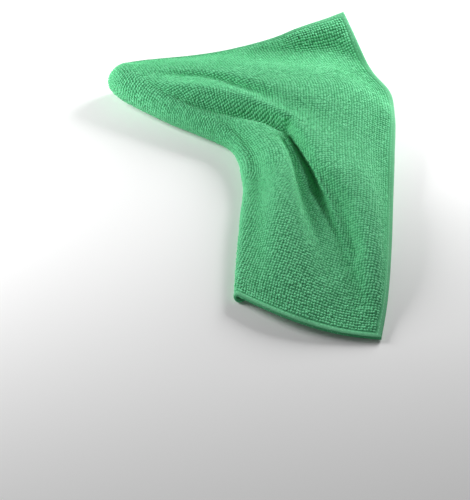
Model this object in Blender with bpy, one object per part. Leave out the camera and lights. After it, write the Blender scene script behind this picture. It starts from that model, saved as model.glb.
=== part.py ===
"""A square microfibre cleaning cloth, lying loosely folded on a flat surface.

The cloth is one closed sheet. It is followed from its right-hand edge along level sections:
up over the soft folds that show, round the rolled fold on the left, back along the surface
under itself, and round once more into an inner layer.
Sizes in the tables are millimetres, +X to the right, +Y to the back, Z up from the surface.
"""

import math
from collections import namedtuple

import bmesh
import bpy
import numpy as np

MM = 0.001

# The cloth as it is cut and hemmed.
SIDE = 305.0
THICKNESS = 3.0

# How it lies: the height of the middle of a layer that rests on the surface, and the
# radius of the tight second turn, which leaves a small gap between the two hidden layers.
FLOOR = THICKNESS / 2
INNER_TURN = 2.2

COLOUR = (0.12, 0.55, 0.28, 1.0)
ROUGHNESS = 0.95

# One row for each section, at a distance from the bottom hem along the cloth.
# The hem columns place the right-hand edge. The fold columns place the outermost point of the
# rolled fold, which faces the heading facing and has the radius roll, and bow is how far the
# section curves forward between hem and roll. Below the roll the cloth runs on along the surface
# for the length under, at the heading under_way, then turns back over itself, and its last
# part, what is left of SIDE, lies at the heading inner_way.
# Headings are in degrees from +X towards +Y.
Section = namedtuple(
    "Section", "along hem_x hem_y hem_z fold_x fold_y facing roll bow under under_way inner_way"
)
SECTIONS = (
    Section(0, 79.5, -144, 1.6, -11, -109, 140, 2.6, 8.5, 101, 25, 160),
    Section(33, 84.5, -112, 4.2, -9.4, -77, 172, 3.8, 4, 97, 24, 158),
    Section(76, 89, -69, 8.4, -6.8, -36, 178, 5.0, 0, 92, 22, 157),
    Section(123, 92.5, -22, 10.0, -5.2, -1, 186, 5.4, 0, 89, 18, 161),
    Section(165, 95.5, 20, 11.8, -13.5, 34, 215, 6.8, 0, 82, 16, 171),
    Section(205, 97.5, 60, 13.0, -41, 54, 235, 8.4, 0, 68, 14, 178),
    Section(231, 95.5, 85, 14.8, -59, 65, 234, 9.2, 0, 61, 10, 182),
    Section(254, 84, 104, 18.5, -77, 77.5, 230, 10.6, 0, 58, 7, 183),
    Section(271, 78, 119, 22.5, -90.5, 88, 222, 11.8, 4, 57, 5, 183),
    Section(287, 72, 134, 28.5, -97.5, 97.5, 207, 11.8, 7, 56, 4, 183),
    Section(305, 65, 149.5, 36.0, -95.5, 106, 190, 10.4, 9, 53, 4, 184),
)

# The centre of the whole lie in plan, which becomes the origin.
MIDDLE = (-0.34, 2.98)

# One row for each fold that shows: the line along its crest or trough, as places and heights of
# the middle of the cloth. The cloth stays near a line's height within the distance softness of
# it, and beyond that it follows the line as far as its reach counts against its neighbours'.
Fold = namedtuple("Fold", "name reach softness line")
FOLDS = (
    Fold("shoulder", 1.8, 3.0, (
        (-70, 104, 25), (-35, 94, 28.5), (-8, 88, 30), (13, 82, 30),
        (33, 75, 29.5), (53, 68, 28), (71, 65, 24), (87, 63, 18),
    )),
    Fold("shoulder groove", 0.8, 2.5, (
        (-63, 93, 24), (-49, 91, 23.5), (-35, 89, 23), (-21, 85, 23), (-8, 78, 24), (7, 69, 25),
        (19, 58, 26.5),
    )),
    Fold("second fold", 1.0, 2.5, (
        (-69, 87, 25), (-49, 80, 27), (-35, 76, 28), (-21, 72, 28.5), (-8, 66, 29),
        (7, 58.7, 28), (21, 49.2, 27.5), (32, 41, 26.3),
    )),
    Fold("right panel", 1.3, 3.0, (
        (32, 41, 26.3), (43, 24.5, 26.2), (52, 5.7, 25.5), (61, -12, 25.5), (69, -28, 23.5),
        (73, -50, 21), (76, -75, 17.5), (77, -102, 11.8), (77.5, -120, 7), (78, -132, 4.2),
    )),
    Fold("crease edge", 0.8, 1.2, (
        (24.7, 42.5, 16), (29.1, 36, 17.5), (34.1, 28, 19), (39.7, 17, 20), (44.4, 5.9, 20.5),
        (47.5, -2.8, 20.5), (49.4, -11.6, 20), (51.5, -20.2, 18.5), (53.2, -29, 17), (54.3, -38.8, 15.5),
        (56.8, -49.9, 13.7), (60.1, -63.5, 11.8), (63.5, -77.3, 10.4),
    )),
    Fold("crease", 0.8, 1.2, (
        (-50, 70, 17), (-20, 60, 14.5), (-6, 56, 14), (6, 51, 13.8), (14, 47, 13.6), (20, 42, 13.4),
        (25, 38.5, 13.2), (28.6, 31.5, 12.4), (32.4, 22.4, 11.2), (36.3, 13.2, 10.2), (39.4, 3.4, 9.8),
        (42.4, -6.6, 9.6), (45.4, -17.7, 9.6),
    )),
    Fold("valley", 0.9, 3.0, (
        (45.4, -17.7, 9.6), (48.3, -29.7, 9.6), (51.2, -42.6, 9.6), (54, -55.9, 9.3), (58.6, -74.3, 8.6),
        (62.9, -96.3, 7.2), (67.2, -118.3, 5),
    )),
    Fold("crease bank", 0.8, 2.0, (
        (22, 26, 17.5), (25, 16, 16.3), (27.5, 3, 15.2), (29.5, -10, 14.7), (32, -23, 14), (37, -39, 13),
        (42, -54, 12), (49, -74, 10.8), (55, -94, 9.2),
    )),
    Fold("middle panel", 1.2, 3.0, (
        (-38, 57, 19.5), (-14, 45, 21.5), (6, 35, 23), (15, 22, 24), (21, 4, 25), (23, -15, 25),
        (23, -38, 23.5), (24, -64, 19.5), (26, -92, 14.3), (29, -115, 9.4), (30, -125, 7.5),
    )),
    Fold("corner dip", 1.2, 3.0, (
        (92, 96, 17), (79, 110, 18), (62, 117, 20.5), (34, 113, 23.5), (6, 112, 25.5),
    )),
    Fold("top hem", 1.2, 3.0, (
        (65, 149.5, 36), (52, 143, 34.7), (41.5, 138.3, 34.2), (31, 133.6, 33), (20, 129.8, 30.5),
        (0, 122.6, 27.8), (-20, 117.5, 26), (-40, 113, 25.2), (-60, 109.8, 24.8), (-80, 107.5, 23.6),
    )),
    Fold("bottom hem", 1.0, 3.0, (
        (79.5, -144, 1.6), (54, -141, 3.5), (30, -133, 5.8), (12, -125, 7.2), (-3, -116, 7.2),
    )),
)

# A line's pull falls with this power of the distance in plan. The hem and the roll pull too.
BLEND_POWER = 2.6
EDGE_REACH = 1.0
EDGE_SOFTNESS = 3.0

# Share of a section's top layer that is eased at each end, to meet the hem and the roll exactly.
EASED_END = 0.12

# Edges that turn more than this are kept crisp, which are the corners of the rim.
CRISP_ANGLE = math.radians(50)

# Mesh steps: sections along the cloth, then columns in each part of a section. Each part is
# first drawn with SAMPLES points, from which its columns are read at equal lengths of cloth.
ROWS = 44
COLUMNS = {"top": 36, "roll": 7, "under": 9, "turn": 6, "inner": 5}
SAMPLES = 120

# Step along the cloth over which the heading of the second turn's fold line is measured.
NEARBY = 1.0


def smooth_curve(knots, values, where):
    """Read a table column between its rows, on a smooth curve through all of them."""
    knots = np.asarray(knots, float)
    values = np.asarray(values, float)
    slopes = np.gradient(values, knots)
    cell = np.clip(np.searchsorted(knots, where, side="right") - 1, 0, len(knots) - 2)
    width = knots[cell + 1] - knots[cell]
    part = (where - knots[cell]) / width
    rest = 1 - part
    return (
        values[cell] * (1 + 2 * part) * rest**2
        + values[cell + 1] * (3 - 2 * part) * part**2
        + slopes[cell] * width * part * rest**2
        - slopes[cell + 1] * width * part**2 * rest
    )


def read_section(along):
    """The section table, read between its rows."""
    knots = [section.along for section in SECTIONS]
    return Section(*(smooth_curve(knots, column, along) for column in zip(*SECTIONS)))


def heading(degrees):
    """Unit direction in plan."""
    return np.array([math.cos(math.radians(degrees)), math.sin(math.radians(degrees))])


def roll_middle(section):
    """The middle of a section's roll in plan, one radius inside its outermost point."""
    return np.array([section.fold_x, section.fold_y]) - heading(section.facing) * section.roll


def line_through(points):
    """A smooth line of many points through a short list of them."""
    points = np.array(points, float)
    run = np.concatenate(([0], np.cumsum(np.linalg.norm(np.diff(points, axis=0), axis=1))))
    where = np.linspace(0, run[-1], SAMPLES)
    return np.stack([smooth_curve(run, column, where) for column in points.T], axis=1)


def edge_lines():
    """The right-hand hem and the top of the roll, which the top layer has to meet."""
    sections = [read_section(along) for along in np.linspace(0, SIDE, SAMPLES)]
    hem = [(section.hem_x, section.hem_y, section.hem_z) for section in sections]
    crest = [(*roll_middle(section), FLOOR + 2 * section.roll) for section in sections]
    return [(EDGE_REACH, EDGE_SOFTNESS, np.array(line)) for line in (hem, crest)]


def nearest_on_line(places, line):
    """Distance in plan from each place to a line, and the line's height there."""
    start = line[:-1]
    step = line[1:] - line[:-1]
    offset = places[:, None, :] - start[None, :, :2]
    part = np.sum(offset * step[None, :, :2], axis=2) / np.sum(step[:, :2] ** 2, axis=1)
    part = np.clip(part, 0, 1)
    gap = np.linalg.norm(offset - part[..., None] * step[None, :, :2], axis=2)
    best = np.argmin(gap, axis=1)
    each = np.arange(len(places))
    return gap[each, best], start[best, 2] + part[each, best] * step[best, 2]


def top_height(places, lines):
    """Height of the top layer at each place: the heights of all lines, the nearest most."""
    total = np.zeros(len(places))
    weight = np.zeros(len(places))
    for reach, softness, line in lines:
        gap, height = nearest_on_line(places, line)
        pull = (reach / np.hypot(gap, softness)) ** BLEND_POWER
        total += pull * height
        weight += pull
    return total / weight


def top_layer(section, lines):
    """A section's top layer, from the right-hand hem to the top of the roll."""
    hem = np.array([section.hem_x, section.hem_y])
    chord = roll_middle(section) - hem
    forward = np.array([-chord[1], chord[0]]) / np.linalg.norm(chord)
    part = np.linspace(0, 1, SAMPLES)
    bow = section.bow * 4 * part * (1 - part)
    places = hem + np.outer(part, chord) + np.outer(bow, forward)
    height = top_height(places, lines)
    at_hem = np.clip(1 - part / EASED_END, 0, 1) ** 2
    at_roll = np.clip(1 - (1 - part) / EASED_END, 0, 1) ** 2
    height += (section.hem_z - height[0]) * at_hem
    height += (FLOOR + 2 * section.roll - height[-1]) * at_roll
    return np.column_stack([places, height])


def half_turn(middle, direction, radius, low, upward):
    """Half a circle in an upright plane, bulging in a direction, between low and low + 2 radius."""
    angle = np.linspace(0, math.pi, SAMPLES)
    rise = 1 - np.cos(angle) if upward else 1 + np.cos(angle)
    places = middle + np.outer(radius * np.sin(angle), direction)
    return np.column_stack([places, low + radius * rise])


def level_run(start, end, height):
    """A straight part that lies level."""
    part = np.linspace(0, 1, SAMPLES)
    return np.column_stack([start + np.outer(part, end - start), np.full(SAMPLES, height)])


def turn_start(section):
    """Where a section's layer along the surface ends and its second turn begins."""
    return roll_middle(section) + heading(section.under_way) * section.under


def turn_facing(section):
    """Unit direction in plan that the second turn faces, square to the line of its fold."""
    before = turn_start(read_section(section.along - NEARBY))
    after = turn_start(read_section(section.along + NEARBY))
    line = after - before
    return np.array([line[1], -line[0]]) / np.linalg.norm(line)


def section_parts(section, lines):
    """The five parts of one section, in order from the right-hand hem."""
    top = top_layer(section, lines)
    middle = roll_middle(section)
    roll = half_turn(middle, heading(section.facing), section.roll, FLOOR, upward=False)
    start = turn_start(section)
    under = level_run(middle, start, FLOOR)
    turn = half_turn(start, turn_facing(section), INNER_TURN, FLOOR, upward=True)
    used = sum(cloth_length(part)[-1] for part in (top, roll, under, turn))
    inner_end = start + heading(section.inner_way) * (SIDE - used)
    inner = level_run(start, inner_end, FLOOR + 2 * INNER_TURN)
    return {"top": top, "roll": roll, "under": under, "turn": turn, "inner": inner}


def cloth_length(path):
    """Length of cloth used up to each point of a path."""
    return np.concatenate(([0], np.cumsum(np.linalg.norm(np.diff(path, axis=0), axis=1))))


def middle_surface(rows, columns):
    """Grid of points on the middle of the cloth, by sections and columns."""
    lines = edge_lines() + [(fold.reach, fold.softness, line_through(fold.line)) for fold in FOLDS]
    grid = []
    for along in rows:
        path = []
        for name, part in section_parts(read_section(along), lines).items():
            length = cloth_length(part)
            where = np.linspace(0, length[-1], columns[name] + 1)[bool(path) :]
            path.extend(np.stack([np.interp(where, length, axis) for axis in part.T], axis=1))
        grid.append(path)
    return np.array(grid) - (*MIDDLE, 0)


def surface_normals(grid):
    """Unit normals of the grid, which point up on the top layer."""
    normals = np.cross(np.gradient(grid, axis=0), np.gradient(grid, axis=1))
    return normals / np.linalg.norm(normals, axis=2, keepdims=True)


def rim_of(rows, columns):
    """Grid places once round the edge of the cloth."""
    bottom = [(0, column) for column in range(columns - 1)]
    left = [(row, columns - 1) for row in range(rows - 1)]
    top = [(rows - 1, column) for column in range(columns - 1, 0, -1)]
    right = [(row, 0) for row in range(rows - 1, 0, -1)]
    return bottom + left + top + right


def make_cloth():
    """The one solid: two skins either side of the middle surface, joined round the rim."""
    grid = middle_surface(np.linspace(0, SIDE, ROWS + 1), COLUMNS)
    lift = surface_normals(grid) * THICKNESS / 2
    rows, columns = grid.shape[:2]
    shape = bmesh.new()
    outer = [[shape.verts.new(point * MM) for point in row] for row in grid + lift]
    lining = [[shape.verts.new(point * MM) for point in row] for row in grid - lift]
    for skin in (outer, lining):
        for row, ahead in zip(skin[:-1], skin[1:]):
            for c in range(columns - 1):
                shape.faces.new((row[c], row[c + 1], ahead[c + 1], ahead[c]))
    rim = rim_of(rows, columns)
    for (r, c), (next_r, next_c) in zip(rim, rim[1:] + rim[:1]):
        shape.faces.new((outer[r][c], outer[next_r][next_c], lining[next_r][next_c], lining[r][c]))
    bmesh.ops.recalc_face_normals(shape, faces=shape.faces)

    mesh = bpy.data.meshes.new("cloth")
    shape.to_mesh(mesh)
    shape.free()
    mesh.shade_smooth()
    mesh.set_sharp_from_angle(angle=CRISP_ANGLE)
    mesh.materials.append(microfibre())
    cloth = bpy.data.objects.new("cloth", mesh)
    bpy.context.scene.collection.objects.link(cloth)


def microfibre():
    material = bpy.data.materials.new("green microfibre")
    material.use_nodes = True
    shader = material.node_tree.nodes["Principled BSDF"]
    shader.inputs["Base Color"].default_value = COLOUR
    shader.inputs["Roughness"].default_value = ROUGHNESS
    shader.inputs["Metallic"].default_value = 0.0
    return material


for old in list(bpy.data.objects):
    bpy.data.objects.remove(old, do_unlink=True)

make_cloth()
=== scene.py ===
"""A green microfibre cleaning cloth, lying loosely folded under itself on a pale surface.

Lengths in the cloth's tables are millimetres, +X to the right, +Y to the back, Z up.
"""

import math
from collections import namedtuple

import bpy
import numpy as np
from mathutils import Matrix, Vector


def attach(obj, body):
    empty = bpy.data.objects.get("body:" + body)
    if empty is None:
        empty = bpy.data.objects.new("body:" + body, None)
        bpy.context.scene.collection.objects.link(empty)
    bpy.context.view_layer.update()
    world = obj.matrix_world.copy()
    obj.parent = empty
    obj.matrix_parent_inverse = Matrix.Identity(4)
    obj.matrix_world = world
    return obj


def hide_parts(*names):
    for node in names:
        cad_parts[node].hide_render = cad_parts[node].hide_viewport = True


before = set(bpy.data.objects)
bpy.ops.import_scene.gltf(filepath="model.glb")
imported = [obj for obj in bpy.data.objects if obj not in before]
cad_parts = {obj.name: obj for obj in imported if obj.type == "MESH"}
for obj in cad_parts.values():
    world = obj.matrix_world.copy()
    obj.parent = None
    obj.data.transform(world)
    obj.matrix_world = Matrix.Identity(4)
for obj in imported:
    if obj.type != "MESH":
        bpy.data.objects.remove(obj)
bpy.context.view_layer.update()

# The view: a long lens looks down on the cloth from the front, high enough to see over its folds.
VIEW_ANGLE = math.radians(42)
VIEW_DISTANCE = 1.5
VIEW_TARGET = Vector((-0.0107, -0.063, 0))
VIEW_HEIGHT = 0.3226
SENSOR = 36.0

lens = bpy.data.cameras.new("camera")
lens.sensor_width = SENSOR
lens.lens = SENSOR * VIEW_DISTANCE / VIEW_HEIGHT
lens.clip_end = 20
camera = bpy.data.objects.new("camera", lens)
camera.rotation_euler = (math.pi / 2 - VIEW_ANGLE, 0, 0)
towards_camera = Vector((0, -math.cos(VIEW_ANGLE), math.sin(VIEW_ANGLE)))
camera.location = VIEW_TARGET + towards_camera * VIEW_DISTANCE
bpy.context.scene.collection.objects.link(camera)
bpy.context.scene.camera = camera

# The ground of the cloth: a square of warp-knitted polyester, 305 mm on a side, which the pile
# stands on. It comes up from the hem on the right over the folds that show, rolls over on the
# left, runs back along the surface under itself and turns once more into an inner layer.
MM = 0.001
SIDE = 305.0
THICKNESS = 3.0
GROUND_HALF = 0.75
FLOOR = THICKNESS / 2
INNER_TURN = 2.2

# One row for each section, at a distance from the bottom hem along the cloth: its right-hand
# edge, the outermost point of the rolled fold with its heading and radius, how far the section
# curves forward, and the length and headings of the layers underneath.
Section = namedtuple(
    "Section", "along hem_x hem_y hem_z fold_x fold_y facing roll bow under under_way inner_way"
)
SECTIONS = (
    Section(0, 79.5, -144, 1.6, -11, -109, 140, 2.6, 8.5, 101, 25, 160),
    Section(33, 84.5, -112, 4.2, -9.4, -77, 172, 3.8, 4, 97, 24, 158),
    Section(76, 89, -69, 8.4, -6.8, -36, 178, 5.0, 0, 92, 22, 157),
    Section(123, 92.5, -22, 10.0, -5.2, -1, 186, 5.4, 0, 89, 18, 161),
    Section(165, 95.5, 20, 11.8, -13.5, 34, 215, 6.8, 0, 82, 16, 171),
    Section(205, 97.5, 60, 13.0, -41, 54, 235, 8.4, 0, 68, 14, 178),
    Section(231, 95.5, 85, 14.8, -59, 65, 234, 9.2, 0, 61, 10, 182),
    Section(254, 84, 104, 18.5, -77, 77.5, 230, 10.6, 0, 58, 7, 183),
    Section(271, 78, 119, 22.5, -90.5, 88, 222, 11.8, 4, 57, 5, 183),
    Section(287, 72, 134, 28.5, -97.5, 97.5, 207, 11.8, 7, 56, 4, 183),
    Section(305, 65, 149.5, 36.0, -95.5, 106, 190, 10.4, 9, 53, 4, 184),
)
MIDDLE = (-0.34, 2.98)

# One row for each fold that shows: how far it holds the cloth, how softly it bends it, and its
# line over the cloth.
Fold = namedtuple("Fold", "name reach softness line")
FOLDS = (
    Fold("shoulder", 1.8, 3.0, (
        (-70, 104, 25), (-35, 94, 28.5), (-8, 88, 30), (13, 82, 30),
        (33, 75, 29.5), (53, 68, 28), (71, 65, 24), (87, 63, 18),
    )),
    Fold("shoulder groove", 0.8, 2.5, (
        (-63, 93, 24), (-49, 91, 23.5), (-35, 89, 23), (-21, 85, 23), (-8, 78, 24), (7, 69, 25),
        (19, 58, 26.5),
    )),
    Fold("second fold", 1.0, 2.5, (
        (-69, 87, 25), (-49, 80, 27), (-35, 76, 28), (-21, 72, 28.5), (-8, 66, 29),
        (7, 58.7, 28), (21, 49.2, 27.5), (32, 41, 26.3),
    )),
    Fold("right panel", 1.3, 3.0, (
        (32, 41, 26.3), (43, 24.5, 26.2), (52, 5.7, 25.5), (61, -12, 25.5), (69, -28, 23.5),
        (73, -50, 21), (76, -75, 17.5), (77, -102, 11.8), (77.5, -120, 7), (78, -132, 4.2),
    )),
    Fold("crease edge", 0.8, 1.2, (
        (24.7, 42.5, 16), (29.1, 36, 17.5), (34.1, 28, 19), (39.7, 17, 20), (44.4, 5.9, 20.5),
        (47.5, -2.8, 20.5), (49.4, -11.6, 20), (51.5, -20.2, 18.5), (53.2, -29, 17), (54.3, -38.8, 15.5),
        (56.8, -49.9, 13.7), (60.1, -63.5, 11.8), (63.5, -77.3, 10.4),
    )),
    Fold("crease", 0.8, 1.2, (
        (-50, 70, 17), (-20, 60, 14.5), (-6, 56, 14), (6, 51, 13.8), (14, 47, 13.6), (20, 42, 13.4),
        (25, 38.5, 13.2), (28.6, 31.5, 12.4), (32.4, 22.4, 11.2), (36.3, 13.2, 10.2), (39.4, 3.4, 9.8),
        (42.4, -6.6, 9.6), (45.4, -17.7, 9.6),
    )),
    Fold("valley", 0.9, 3.0, (
        (45.4, -17.7, 9.6), (48.3, -29.7, 9.6), (51.2, -42.6, 9.6), (54, -55.9, 9.3), (58.6, -74.3, 8.6),
        (62.9, -96.3, 7.2), (67.2, -118.3, 5),
    )),
    Fold("crease bank", 0.8, 2.0, (
        (22, 26, 17.5), (25, 16, 16.3), (27.5, 3, 15.2), (29.5, -10, 14.7), (32, -23, 14), (37, -39, 13),
        (42, -54, 12), (49, -74, 10.8), (55, -94, 9.2),
    )),
    Fold("middle panel", 1.2, 3.0, (
        (-38, 57, 19.5), (-14, 45, 21.5), (6, 35, 23), (15, 22, 24), (21, 4, 25), (23, -15, 25),
        (23, -38, 23.5), (24, -64, 19.5), (26, -92, 14.3), (29, -115, 9.4), (30, -125, 7.5),
    )),
    Fold("corner dip", 1.2, 3.0, (
        (92, 96, 17), (79, 110, 18), (62, 117, 20.5), (34, 113, 23.5), (6, 112, 25.5),
    )),
    Fold("top hem", 1.2, 3.0, (
        (65, 149.5, 36), (52, 143, 34.7), (41.5, 138.3, 34.2), (31, 133.6, 33), (20, 129.8, 30.5),
        (0, 122.6, 27.8), (-20, 117.5, 26), (-40, 113, 25.2), (-60, 109.8, 24.8), (-80, 107.5, 23.6),
    )),
    Fold("bottom hem", 1.0, 3.0, (
        (79.5, -144, 1.6), (54, -141, 3.5), (30, -133, 5.8), (12, -125, 7.2), (-3, -116, 7.2),
    )),
)

# Along the crease edge the cloth leans out over the crease: where, and how far.
LIP = (
    (24.7, 42.5, 0), (29.1, 36, 2), (34.1, 28, 4), (39.7, 17, 6), (44.4, 5.9, 7), (47.5, -2.8, 7),
    (49.4, -11.6, 6.5), (51.5, -20.2, 5.5), (53.2, -29, 4), (54.3, -38.8, 2), (56.8, -49.9, 0.8),
    (60.1, -63.5, 0), (63.5, -77.3, 0),
)
LIP_WAY = np.array([-0.94, -0.34])
LIP_BEHIND = 8.0
LIP_BELOW = 1.6
BLEND_POWER = 2.6
EDGE_SOFTNESS = 3.0
EASED_END = 0.12
SAMPLES = 160
NEARBY = 1.0
CELLS = 170


def smooth_curve(knots, values, where):
    """Read a table column between its rows, on a smooth curve through all of them."""
    knots = np.asarray(knots, float)
    values = np.asarray(values, float)
    slopes = np.gradient(values, knots)
    cell = np.clip(np.searchsorted(knots, where, side="right") - 1, 0, len(knots) - 2)
    width = knots[cell + 1] - knots[cell]
    part = (where - knots[cell]) / width
    rest = 1 - part
    return (
        values[cell] * (1 + 2 * part) * rest**2
        + values[cell + 1] * (3 - 2 * part) * part**2
        + slopes[cell] * width * part * rest**2
        - slopes[cell + 1] * width * part**2 * rest
    )


def read_section(along):
    knots = [section.along for section in SECTIONS]
    return Section(*(smooth_curve(knots, column, along) for column in zip(*SECTIONS)))


def heading(degrees):
    return np.array([math.cos(math.radians(degrees)), math.sin(math.radians(degrees))])


def roll_middle(section):
    """The middle of a section's roll in plan, one radius inside its outermost point."""
    return np.array([section.fold_x, section.fold_y]) - heading(section.facing) * section.roll


def cloth_length(path):
    """Length of cloth used up to each point of a path."""
    return np.concatenate(([0], np.cumsum(np.linalg.norm(np.diff(path, axis=0), axis=1))))


def line_through(points):
    """A smooth line of many points through a short list of them."""
    points = np.array(points, float)
    run = cloth_length(points)
    where = np.linspace(0, run[-1], SAMPLES)
    return np.stack([smooth_curve(run, column, where) for column in points.T], axis=1)


def edge_lines():
    """The right-hand hem and the top of the roll, which the top layer has to meet."""
    sections = [read_section(along) for along in np.linspace(0, SIDE, SAMPLES)]
    hem = [(section.hem_x, section.hem_y, section.hem_z) for section in sections]
    crest = [(*roll_middle(section), FLOOR + 2 * section.roll) for section in sections]
    return [(1.0, EDGE_SOFTNESS, np.array(hem)), (1.0, EDGE_SOFTNESS, np.array(crest))]


def nearest_on_line(places, line):
    """Distance in plan from each place to a line, and the line's height there."""
    start = line[:-1]
    step = line[1:] - line[:-1]
    offset = places[:, None, :] - start[None, :, :2]
    part = np.sum(offset * step[None, :, :2], axis=2) / np.sum(step[:, :2] ** 2, axis=1)
    part = np.clip(part, 0, 1)
    gap = np.linalg.norm(offset - part[..., None] * step[None, :, :2], axis=2)
    best = np.argmin(gap, axis=1)
    each = np.arange(len(places))
    return gap[each, best], start[best, 2] + part[each, best] * step[best, 2]


def top_height(places, lines):
    """Height of the top layer at each place: the heights of all lines, the nearest most."""
    total = np.zeros(len(places))
    weight = np.zeros(len(places))
    for reach, softness, line in lines:
        gap, height = nearest_on_line(places, line)
        pull = (reach / np.hypot(gap, softness)) ** BLEND_POWER
        total += pull * height
        weight += pull
    return total / weight


def lean_out(places):
    """How far each place is carried over the crease with the lip."""
    right = -LIP_WAY
    ahead = np.array([right[1], -right[0]])
    line = line_through(LIP)
    run = line[:, :2] @ ahead
    behind = places @ right - np.interp(places @ ahead, run, line[:, :2] @ right)
    width = np.where(behind > 0, LIP_BEHIND, LIP_BELOW)
    return np.interp(places @ ahead, run, line[:, 2]) * np.exp(-((behind / width) ** 2))


def top_layer(section, lines):
    """A section's top layer, from the right-hand hem to the top of the roll."""
    hem = np.array([section.hem_x, section.hem_y])
    chord = roll_middle(section) - hem
    forward = np.array([-chord[1], chord[0]]) / np.linalg.norm(chord)
    part = np.linspace(0, 1, SAMPLES)
    bow = section.bow * 4 * part * (1 - part)
    places = hem + np.outer(part, chord) + np.outer(bow, forward)
    height = top_height(places, lines)
    at_hem = np.clip(1 - part / EASED_END, 0, 1) ** 2
    at_roll = np.clip(1 - (1 - part) / EASED_END, 0, 1) ** 2
    height += (section.hem_z - height[0]) * at_hem
    height += (FLOOR + 2 * section.roll - height[-1]) * at_roll
    return np.column_stack([places + np.outer(lean_out(places), LIP_WAY), height])


def half_turn(middle, direction, radius, low, upward):
    """Half a circle in an upright plane, bulging in a direction, between low and low + 2 radius."""
    angle = np.linspace(0, math.pi, SAMPLES)
    rise = 1 - np.cos(angle) if upward else 1 + np.cos(angle)
    places = middle + np.outer(radius * np.sin(angle), direction)
    return np.column_stack([places, low + radius * rise])


def level_run(start, end, height):
    part = np.linspace(0, 1, SAMPLES)
    return np.column_stack([start + np.outer(part, end - start), np.full(SAMPLES, height)])


def turn_start(section):
    """Where a section's layer along the surface ends and its second turn begins."""
    return roll_middle(section) + heading(section.under_way) * section.under


def turn_facing(section):
    """Unit direction in plan that the second turn faces, square to the line of its fold."""
    before = turn_start(read_section(section.along - NEARBY))
    after = turn_start(read_section(section.along + NEARBY))
    line = after - before
    return np.array([line[1], -line[0]]) / np.linalg.norm(line)


def section_path(section, lines):
    """The whole of one section, from the right-hand hem to the end of the inner layer."""
    top = top_layer(section, lines)
    middle = roll_middle(section)
    roll = half_turn(middle, heading(section.facing), section.roll, FLOOR, upward=False)
    start = turn_start(section)
    under = level_run(middle, start, FLOOR)
    turn = half_turn(start, turn_facing(section), INNER_TURN, FLOOR, upward=True)
    used = sum(cloth_length(part)[-1] for part in (top, roll, under, turn))
    inner_end = start + heading(section.inner_way) * (SIDE - used)
    inner = level_run(start, inner_end, FLOOR + 2 * INNER_TURN)
    return np.vstack([top, roll[1:], under[1:], turn[1:], inner[1:]])


def lie_of_cloth():
    """Grid of points on the middle of the cloth, at even lengths along and across it."""
    lines = edge_lines() + [(fold.reach, fold.softness, line_through(fold.line)) for fold in FOLDS]
    grid = []
    for along in np.linspace(0, SIDE, CELLS + 1):
        path = section_path(read_section(along), lines)
        length = cloth_length(path)
        where = np.linspace(0, length[-1], CELLS + 1)
        grid.append(np.stack([np.interp(where, length, axis) for axis in path.T], axis=1))
    return np.array(grid) - (*MIDDLE, 0)


def upward_normals(grid):
    """Unit normals of the grid, which point up on the top layer."""
    normals = np.cross(np.gradient(grid, axis=0), np.gradient(grid, axis=1))
    return normals / np.linalg.norm(normals, axis=2, keepdims=True)


lie = lie_of_cloth()
lie_normals = upward_normals(lie)


def on_cloth(along, across, lift):
    """Points at distances along and across the cloth, lifted off the middle of it."""
    row_place = np.clip(along / SIDE * CELLS, 0, CELLS - 1e-6)
    column_place = np.clip(across / SIDE * CELLS, 0, CELLS - 1e-6)
    row = row_place.astype(int)
    column = column_place.astype(int)
    row_part = (row_place - row)[..., None]
    column_part = (column_place - column)[..., None]

    def blend(field):
        near = field[row, column] * (1 - column_part) + field[row, column + 1] * column_part
        far = field[row + 1, column] * (1 - column_part) + field[row + 1, column + 1] * column_part
        return near * (1 - row_part) + far * row_part

    return blend(lie) + blend(lie_normals) * np.asarray(lift)[..., None]


class Signal:
    """A number or colour that varies over a surface; operators on it add Math nodes."""

    def __init__(self, finish, socket):
        self.finish = finish
        self.socket = socket

    def maths(self, operation, first, second):
        return self.finish.add("ShaderNodeMath", {"operation": operation}, {0: first, 1: second})

    def __add__(self, other):
        return self.maths("ADD", self, other)

    def __mul__(self, other):
        return self.maths("MULTIPLY", self, other)

    __radd__ = __add__
    __rmul__ = __mul__


class Finish:
    """A material whose shader has its plain values set, ready for nodes that vary."""

    def __init__(self, name, **plain):
        self.material = bpy.data.materials.new(name)
        self.material.use_nodes = True
        self.tree = self.material.node_tree
        self.shader = self.tree.nodes["Principled BSDF"]
        for socket, value in plain.items():
            self.feed(self.shader.inputs[socket.replace("_", " ")], value)

    def feed(self, socket, value):
        if isinstance(value, Signal):
            self.tree.links.new(value.socket, socket)
        else:
            socket.default_value = value

    def add(self, kind, settings, sockets, output=0):
        node = self.tree.nodes.new(kind)
        for setting, value in settings.items():
            setattr(node, setting, value)
        for socket, value in sockets.items():
            self.feed(node.inputs[socket], value)
        return Signal(self, node.outputs[output])

    def place(self):
        return self.add("ShaderNodeTexCoord", {}, {}, output="Object")

    def noise(self, size):
        """Soft noise from 0 to 1, with features of a size in millimetres."""
        return self.add("ShaderNodeTexNoise", {}, {"Vector": self.place(), "Scale": 1 / (size * MM)})

    def between(self, share, low, high):
        """A colour from low to high."""
        return self.add(
            "ShaderNodeMix", {"data_type": "RGBA"}, {"Factor": share, 6: low, 7: high}, output=2
        )

    def relief(self, height, depth):
        """A normal for relief of a depth in millimetres."""
        return self.add("ShaderNodeBump", {}, {"Height": height, "Distance": depth * MM})


def make_piece(name, points, faces, finish):
    """A smooth object from points in millimetres, which moves with the cloth."""
    mesh = bpy.data.meshes.new(name)
    mesh.from_pydata(np.asarray(points) * MM, [], faces)
    mesh.materials.append(finish.material)
    mesh.shade_smooth()
    piece = bpy.data.objects.new(name, mesh)
    bpy.context.scene.collection.objects.link(piece)
    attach(piece, "root")
    return piece


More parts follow.
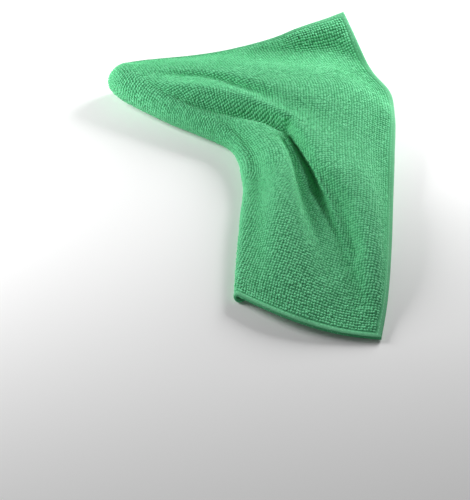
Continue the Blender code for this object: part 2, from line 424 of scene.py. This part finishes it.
def quads_of(corners):
    """Faces over a grid of point numbers."""
    near, far = corners[:-1], corners[1:]
    return np.stack([near[:, :-1], far[:, :-1], far[:, 1:], near[:, 1:]], axis=-1).reshape(-1, 4)


# Painted shade: the ground is coloured a darker green than the pile, for the shade in the gaps between the
# knobs.
GROUND_GAP_SHADE_GREEN = (0.055, 0.36, 0.15, 1)

ground_finish = Finish("microfibre ground", Roughness=0.95, Base_Color=GROUND_GAP_SHADE_GREEN)
ground_finish.feed(ground_finish.shader.inputs["Normal"], ground_finish.relief(ground_finish.noise(0.5), 0.2))

corners = np.arange((CELLS + 1) ** 2).reshape(CELLS + 1, CELLS + 1)
lining = corners + corners.size
rim = np.concatenate([corners[0, :-1], corners[:-1, -1], corners[-1, :0:-1], corners[:0:-1, 0]])
next_on_rim = np.roll(rim, -1)
rim_faces = np.stack([rim, next_on_rim, next_on_rim + corners.size, rim + corners.size], axis=1)
ground = make_piece(
    "cloth_ground",
    np.concatenate([(lie + lie_normals * side * GROUND_HALF).reshape(-1, 3) for side in (1, -1)]),
    np.concatenate([quads_of(corners), quads_of(lining)[:, ::-1], rim_faces]).tolist(),
    ground_finish,
)
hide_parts("cloth")

# The pile: short split-fibre loops in little knobs, in straight rows on both faces, closer on the
# face that shows. They are knitted in with the ground, close enough to hide it, and stop where
# the hem starts.
FACE_PITCH = 1.9
REVERSE_PITCH = 2.4
KNOB_WIDTH = 0.52
KNOB_HEIGHT = 0.34
KNOB_ROOT = 0.65
# Each ring of a knob: its width and height as shares of the knob's, and how light it is painted, from painted
# shade at the foot to painted light near the tip.
KNOB_RINGS = ((1.0, 0.0, 0.0), (0.8, 0.62, 0.75))
PLACE_VARIES = 0.065
WIDTH_VARIES = 0.1
HEIGHT_VARIES = 0.18
LEAN_VARIES = 0.1
PILE_MARGIN = 4.0
PILE_LIGHT = (0.17, 0.74, 0.355, 1)
PILE_DEEP = (0.075, 0.46, 0.2, 1)
# The pile's tone, from deep to light: at a knob's foot, which is painted in shade, what the painted light at
# its tip adds and what random patches add.
SHADED_FOOT_TONE = 0.27
TIP_PAINTED_LIGHT = 0.42
PATCHES_ADD = 0.3
PATCH_SIZE = 2.6

pile_finish = Finish("microfibre pile", Roughness=0.9, Sheen_Weight=0.25, Sheen_Roughness=0.45)
# Painted shade and light: each knob is coloured darker at its foot and lighter towards its tip, for the shade
# that falls between the knobs.
painted_light = pile_finish.add("ShaderNodeAttribute", {"attribute_name": "painted_light"}, {}, output="Fac")
shaded_patchy_tone = painted_light * TIP_PAINTED_LIGHT + pile_finish.noise(PATCH_SIZE) * PATCHES_ADD + SHADED_FOOT_TONE
pile_finish.feed(pile_finish.shader.inputs["Base Color"], pile_finish.between(shaded_patchy_tone, PILE_DEEP, PILE_LIGHT))
pile_finish.feed(pile_finish.shader.inputs["Normal"], pile_finish.relief(pile_finish.noise(0.35), 0.15))


def knobs(pitch, first_share, last_share, sides, face):
    """Points, faces and painted light shares of the knobs on a share of a face, which is 1 or -1."""
    draw = np.random.default_rng(int(11 + 100 * first_share + face))
    count = int((SIDE - 2 * PILE_MARGIN) / pitch)
    places = (SIDE - (count - 1) * pitch) / 2 + pitch * np.arange(count)
    rows = places[round(count * first_share) : round(count * last_share)]
    along, across = (grid.ravel() for grid in np.meshgrid(rows, places, indexing="ij"))
    amount = len(along)
    along = along + pitch * draw.normal(0, PLACE_VARIES, amount)
    across = across + pitch * draw.normal(0, PLACE_VARIES, amount)
    radius = pitch * KNOB_WIDTH * draw.normal(1, WIDTH_VARIES, amount)
    height = pitch * KNOB_HEIGHT * draw.normal(1, HEIGHT_VARIES, amount)
    lean = pitch * draw.normal(0, LEAN_VARIES, (2, amount))
    turn = 2 * math.pi * np.arange(sides) / sides
    points = []
    painted_lights = []
    for wide, rise, share in KNOB_RINGS:
        ring_along = along[:, None] + wide * radius[:, None] * np.cos(turn) + lean[0][:, None] * rise
        ring_across = across[:, None] + wide * radius[:, None] * np.sin(turn) + lean[1][:, None] * rise
        lift = KNOB_ROOT + rise * height[:, None] + 0 * turn
        points.append(on_cloth(ring_along, ring_across, face * lift))
        painted_lights.append(np.full((amount, sides), share))
    top = on_cloth(along + lean[0], across + lean[1], face * (KNOB_ROOT + height))
    points = np.concatenate([*points, top[:, None]], axis=1)
    painted_lights = np.concatenate([*painted_lights, np.ones((amount, 1))], axis=1)
    corner = np.arange(sides)
    after = (corner + 1) % sides
    wall = np.stack([corner, after, after + sides, corner + sides], axis=1)
    cap = np.stack([corner + sides, after + sides, np.full(sides, 2 * sides)], axis=1)
    if face < 0:
        wall, cap = wall[:, ::-1], cap[:, ::-1]
    offset = (np.arange(amount) * (2 * sides + 1))[:, None, None]
    walls = (offset + wall).reshape(-1, 4).tolist()
    caps = (offset + cap).reshape(-1, 3).tolist()
    return points.reshape(-1, 3), walls + caps, painted_lights.ravel()


def make_pile(name, pitch, first_share, last_share, sides, face):
    points, faces, painted_lights = knobs(pitch, first_share, last_share, sides, face)
    pile = make_piece(name, points, faces, pile_finish)
    pile.data.attributes.new("painted_light", "FLOAT", "POINT").data.foreach_set("value", painted_lights)
    return pile


pile = [
    make_pile("pile_face_front", FACE_PITCH, 0, 1 / 3, 6, 1),
    make_pile("pile_face_middle", FACE_PITCH, 1 / 3, 2 / 3, 6, 1),
    make_pile("pile_face_back", FACE_PITCH, 2 / 3, 1, 6, 1),
    make_pile("pile_reverse", REVERSE_PITCH, 0, 1, 4, -1),
]

# The hem: a narrow flat band round all four sides, where the edge is turned and oversewn with
# matching thread. The loops of the thread cross the band side by side and wrap its edge, and a
# line of stitches along the inner side holds them down.
HEM_PROFILE = (
    (0.0, 0.0), (0.1, 0.6), (0.4, 0.95), (0.9, 1.1), (1.8, 1.12), (2.4, 1.05), (2.8, 0.95),
    (3.3, 1.0), (3.8, 0.9), (4.3, 0.4),
)
HEM_GREEN = (0.1, 0.48, 0.215, 1)
THREAD_GREEN = (0.1, 0.49, 0.225, 1)
STITCH_GREEN = (0.15, 0.66, 0.32, 1)
HEM_STEP = 1.5
LOOP_PITCH = 1.25
LOOP_SLANT = 0.9
LOOP_LAST = 6
LOOP_HALF = 0.55
LOOP_RISE = 0.25
LOOP_ROOT = 0.1
LOOP_PLACE_VARIES = 0.09
LOOP_RISE_VARIES = 0.15
STITCH_PITCH = 2.6
STITCH_INSET = 2.7
STITCH_HALF = (1.2, 0.4)
STITCH_LIFT = (0.75, 0.45)
STITCH_END = (0.1, 0.02)
ROUND_A_THREAD = (0, 55, 125, 180)
DOWN_A_STITCH = (0, 45, 90, 135, 180)

hem_finish = Finish("hem ground", Roughness=0.9, Base_Color=HEM_GREEN)
hem_finish.feed(hem_finish.shader.inputs["Normal"], hem_finish.relief(hem_finish.noise(0.6), 0.15))
thread_finish = Finish("hem thread", Roughness=0.7, Sheen_Weight=0.15, Base_Color=THREAD_GREEN)
stitch_finish = Finish("hem stitch thread", Roughness=0.7, Sheen_Weight=0.15, Base_Color=STITCH_GREEN)
for thread in (thread_finish, stitch_finish):
    thread.feed(thread.shader.inputs["Normal"], thread.relief(thread.noise(0.4), 0.08))


def round_the_edge(run, inset):
    """Distances along and across the cloth at a run round its edge, kept an inset inside it."""
    side = np.floor(run / SIDE).astype(int) % 4
    part = inset + (run % SIDE) / SIDE * (SIDE - 2 * inset)
    far = SIDE - inset
    along = np.choose(side, [inset + 0 * part, part, far + 0 * part, SIDE - part])
    across = np.choose(side, [part, far + 0 * part, SIDE - part, inset + 0 * part])
    return along, across


def near_edge(run, inset, lift):
    """Points at a run round the edge, an inset inside it and a lift off the middle of the cloth."""
    run, inset, lift = np.broadcast_arrays(run, inset, lift)
    return on_cloth(*round_the_edge(run, inset), lift)


def patches(points):
    """Faces of many separate grids of points, shaped (grids, rows, columns)."""
    rows, columns = points.shape[1:3]
    one = quads_of(np.arange(rows * columns).reshape(rows, columns))
    starts = np.arange(points.shape[0]) * rows * columns
    return (starts[:, None, None] + one).reshape(-1, 4)


profile = np.array(HEM_PROFILE)
loop = np.concatenate([profile[::-1], profile[1:] * (1, -1)])
run = np.linspace(0, 4 * SIDE, int(4 * SIDE / HEM_STEP), endpoint=False)
points = near_edge(run[:, None], loop[:, 0], loop[:, 1])
numbers = np.arange(run.size * len(loop)).reshape(run.size, len(loop))
numbers = np.vstack([numbers, numbers[:1]])
numbers = np.hstack([numbers, numbers[:, :1]])
hem = make_piece("hem", points.reshape(-1, 3), quads_of(numbers).tolist(), hem_finish)

draw = np.random.default_rng(5)
wrap = np.concatenate([profile[LOOP_LAST:0:-1], profile[:LOOP_LAST + 1] * (1, -1)])
along_wrap = np.gradient(wrap, axis=0)
outward = np.stack([-along_wrap[:, 1], along_wrap[:, 0]], axis=1)
outward = outward / np.linalg.norm(outward, axis=1, keepdims=True)
if outward[0, 1] < 0:
    outward = -outward
bend = np.radians(ROUND_A_THREAD)
loops = int(4 * SIDE / LOOP_PITCH)
start = LOOP_PITCH * (np.arange(loops) + draw.normal(0, LOOP_PLACE_VARIES, loops))
rise = (LOOP_RISE * np.sin(bend) - LOOP_ROOT) * draw.normal(1, LOOP_RISE_VARIES, (loops, 1, 1))
slant = LOOP_SLANT * wrap[:, 0] / wrap[0, 0] * np.sign(wrap[:, 1])
points = near_edge(
    start[:, None, None] + slant[:, None] + LOOP_HALF * np.cos(bend),
    wrap[:, 0, None] + outward[:, 0, None] * rise,
    wrap[:, 1, None] + outward[:, 1, None] * rise,
)
hem_loops = make_piece("hem_loops", points.reshape(-1, 3), patches(points).tolist(), thread_finish)

stitches = int(4 * SIDE / STITCH_PITCH)
middle = STITCH_PITCH * np.arange(stitches)
down = np.radians(DOWN_A_STITCH)[:, None]
end_width = np.sqrt(np.sin(down) + STITCH_END[0])
end_rise = np.sqrt(np.sin(down) + STITCH_END[1])
lines = []
for face in (1, -1):
    shape = near_edge(
        middle[:, None, None] - STITCH_HALF[0] * np.cos(down) + 0 * bend,
        STITCH_INSET - face * STITCH_HALF[1] * np.cos(bend) * end_width,
        face * (STITCH_LIFT[0] + STITCH_LIFT[1] * end_rise * np.sin(bend)),
    )
    lines.append(shape)
points = np.concatenate(lines)
hem_stitches = make_piece("hem_stitches", points.reshape(-1, 3), patches(points).tolist(), stitch_finish)

# The studio: a pale floor, two low soft lights, one at the back right and one on the left, which
# bring out the folds, a weak wide one in front, and white surroundings.
FLOOR_REACH = 3

floor_mesh = bpy.data.meshes.new("floor")
floor_corners = [(x * FLOOR_REACH, y * FLOOR_REACH, 0) for x, y in ((-1, -1), (1, -1), (1, 1), (-1, 1))]
floor_mesh.from_pydata(floor_corners, [], [(0, 1, 2, 3)])
floor_finish = Finish("pale floor", Roughness=0.8, Base_Color=(0.9, 0.9, 0.9, 1))
floor_mesh.materials.append(floor_finish.material)
floor = bpy.data.objects.new("floor", floor_mesh)
bpy.context.scene.collection.objects.link(floor)


def soft_light(name, place, size, power):
    """A square light at a place, which faces the middle of the cloth."""
    lamp = bpy.data.lights.new(name, "AREA")
    lamp.size = size
    lamp.energy = power
    light = bpy.data.objects.new(name, lamp)
    light.location = place
    light.rotation_euler = Vector(place).to_track_quat("Z", "Y").to_euler()
    bpy.context.scene.collection.objects.link(light)


soft_light("back light", (0.3, 0.32, 0.21), 0.25, 3.35)
soft_light("left light", (-0.47, 0.11, 0.23), 0.25, 3.1)
soft_light("front light", (0.05, -0.9, 0.3), 0.8, 0.8)

world = bpy.data.worlds.new("surroundings")
world.use_nodes = True
world.node_tree.nodes["Background"].inputs["Color"].default_value = (1, 1, 1, 1)
world.node_tree.nodes["Background"].inputs["Strength"].default_value = 0.07
bpy.context.scene.world = world
bpy.context.scene.view_settings.view_transform = "Standard"
